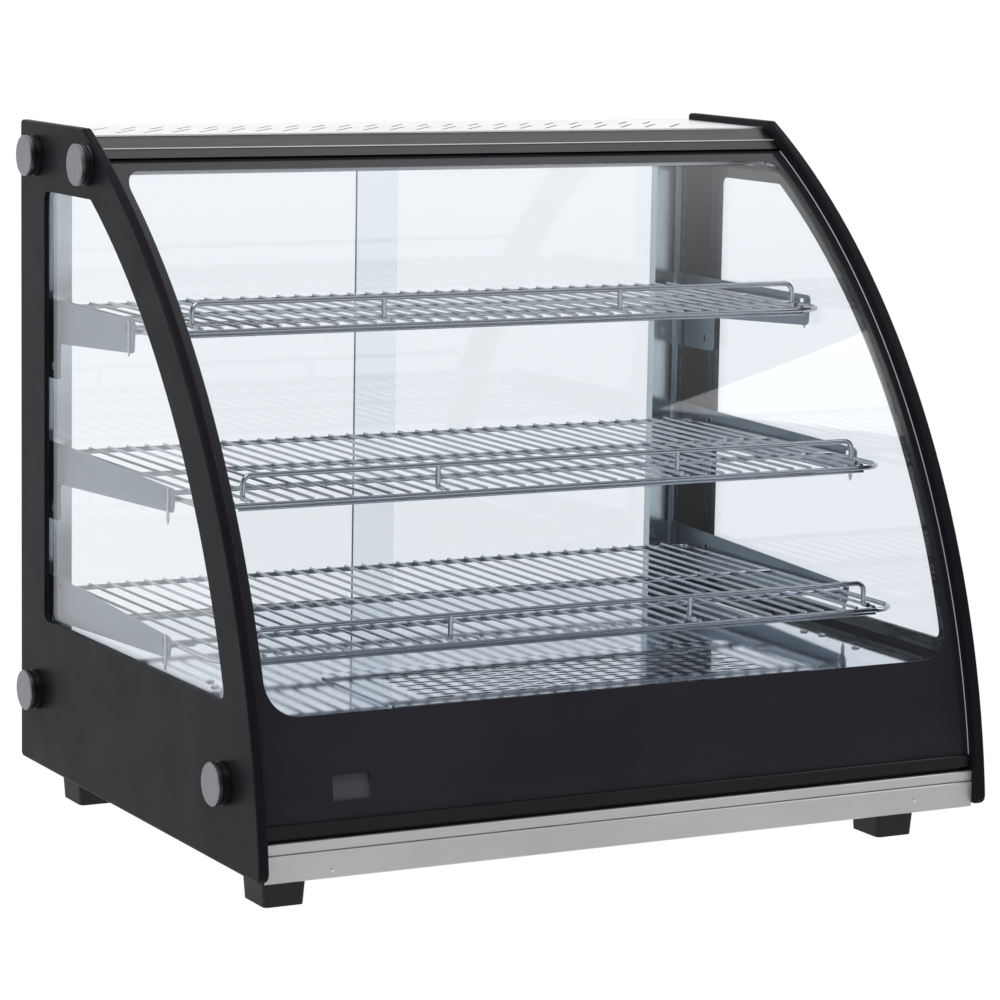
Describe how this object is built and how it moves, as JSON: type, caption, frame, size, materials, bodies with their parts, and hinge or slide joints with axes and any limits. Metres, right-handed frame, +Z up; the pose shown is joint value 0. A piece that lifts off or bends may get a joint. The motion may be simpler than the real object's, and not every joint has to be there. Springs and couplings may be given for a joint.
{
  "type": "hot food display case",
  "caption": "Countertop heated display case with a curved glass front, black-bordered glass sides, wire shelves and sliding glass rear doors.",
  "frame": {"origin": "centre of the footprint, on the surface the feet stand on", "axes": "+Z up, curved glass front towards -Y, rear doors towards +Y, +X to the right seen from the front"},
  "size_m": [0.802, 0.596, 0.665],
  "materials": {
    "sheet_steel": "brushed stainless sheet",
    "polished_steel": "polished stainless sheet with a soft reflection",
    "roof_steel": "brushed stainless sheet",
    "heater_steel": "dull heat-tinted sheath",
    "screw_steel": "bright plated",
    "post_steel": "bright rolled steel",
    "bracket_steel": "bright plated pressing",
    "spring_steel": "satin",
    "chrome_wire": "bright chromed wire",
    "trim_aluminium": "satin anodised",
    "cap_metal": "spun satin face",
    "collar_black": "satin black",
    "gunmetal_bar": "dark anodised satin",
    "black_frame": "satin black",
    "black_print": "glossy black ceramic print",
    "black_plastic": "moulded matt black",
    "rocker_black": "glossy black",
    "grey_key": "matt grey",
    "black_rubber": "matt black rubber",
    "white_nylon": "natural nylon",
    "lamp_white": "white lamp body",
    "lamp_diffuser": "opal diffuser",
    "clear_glass": "clear toughened glass"
  },
  "bodies": {
    "case": {"base_shell": "sheet_steel", "deck_panel": "polished_steel", "deck_side_strips": "polished_steel", "water_well": "sheet_steel", "heating_element": "heater_steel", "heater_clamps": "sheet_steel", "front_trim": "trim_aluminium", "glass_channel": "black_plastic", "service_panel": "sheet_steel", "feet": "black_rubber", "case_screws": "screw_steel", "side_frame_left": "black_frame", "side_frame_right": "black_frame", "side_glass_left": "clear_glass", "side_glass_right": "clear_glass", "standoff_collars": "collar_black", "standoff_caps": "cap_metal", "standoff_studs": "screw_steel", "front_glass": "clear_glass", "front_border": "black_print", "display_module": "black_plastic", "roof_panel": "roof_steel", "top_bar": "gunmetal_bar", "ceiling_panel": "sheet_steel", "lamp_tube": "lamp_white", "lamp_diffuser": "lamp_diffuser", "lamp_holders": "lamp_white", "top_rails": "sheet_steel", "rear_header": "sheet_steel", "door_track": "sheet_steel", "post_left": "post_steel", "post_right": "post_steel", "bracket_top_left": "bracket_steel", "bracket_top_right": "bracket_steel", "bracket_middle_left": "bracket_steel", "bracket_middle_right": "bracket_steel", "bracket_bottom_left": "bracket_steel", "bracket_bottom_right": "bracket_steel", "shelf_clips": "spring_steel", "controller": "black_plastic", "switch_bezels": "black_plastic", "power_inlet": "black_plastic"},
    "left_door": {"door_left": "clear_glass", "pull_left": "trim_aluminium", "shoes_left": "white_nylon"},
    "right_door": {"door_right": "clear_glass", "pull_right": "trim_aluminium", "shoes_right": "white_nylon"},
    "top_shelf": {"shelf_top": "chrome_wire", "guard_top": "chrome_wire"},
    "middle_shelf": {"shelf_middle": "chrome_wire", "guard_middle": "chrome_wire"},
    "bottom_shelf": {"shelf_bottom": "chrome_wire", "guard_bottom": "chrome_wire"},
    "lift_out_plate": {"cover_plate": "polished_steel"},
    "set_key": {"button_set": "grey_key"},
    "up_key": {"button_up": "grey_key"},
    "down_key": {"button_down": "grey_key"},
    "power_switch": {"power_rocker": "rocker_black"},
    "lamp_switch": {"lamp_rocker": "rocker_black"}
  },
  "joints": [
    {"name": "left_door_slide", "type": "slide", "parent": "case", "child": "left_door", "axis": [1, 0, 0], "range_m": [-0.017, 0.331]},
    {"name": "right_door_slide", "type": "slide", "parent": "case", "child": "right_door", "axis": [1, 0, 0], "range_m": [-0.345, 0]},
    {"name": "top_shelf_lift", "type": "slide", "parent": "case", "child": "top_shelf", "axis": [0, 0, 1], "range_m": [0, 0.04]},
    {"name": "middle_shelf_lift", "type": "slide", "parent": "case", "child": "middle_shelf", "axis": [0, 0, 1], "range_m": [0, 0.04]},
    {"name": "bottom_shelf_lift", "type": "slide", "parent": "case", "child": "bottom_shelf", "axis": [0, 0, 1], "range_m": [0, 0.04]},
    {"name": "plate_lift", "type": "slide", "parent": "case", "child": "lift_out_plate", "axis": [0, 0, 1], "range_m": [0, 0.02]},
    {"name": "set_key_press", "type": "slide", "parent": "case", "child": "set_key", "axis": [0, -1, 0], "range_m": [0, 0.001], "stiffness_N_per_m": 400},
    {"name": "up_key_press", "type": "slide", "parent": "case", "child": "up_key", "axis": [0, -1, 0], "range_m": [0, 0.001], "stiffness_N_per_m": 400},
    {"name": "down_key_press", "type": "slide", "parent": "case", "child": "down_key", "axis": [0, -1, 0], "range_m": [0, 0.001], "stiffness_N_per_m": 400},
    {"name": "power_switch_rock", "type": "hinge", "parent": "case", "child": "power_switch", "pos_m": [0.11, 0.2905, 0.091], "axis": [1, 0, 0], "range_deg": [-16, 0]},
    {"name": "lamp_switch_rock", "type": "hinge", "parent": "case", "child": "lamp_switch", "pos_m": [0.16, 0.2905, 0.091], "axis": [1, 0, 0], "range_deg": [-16, 0]}
  ]
}
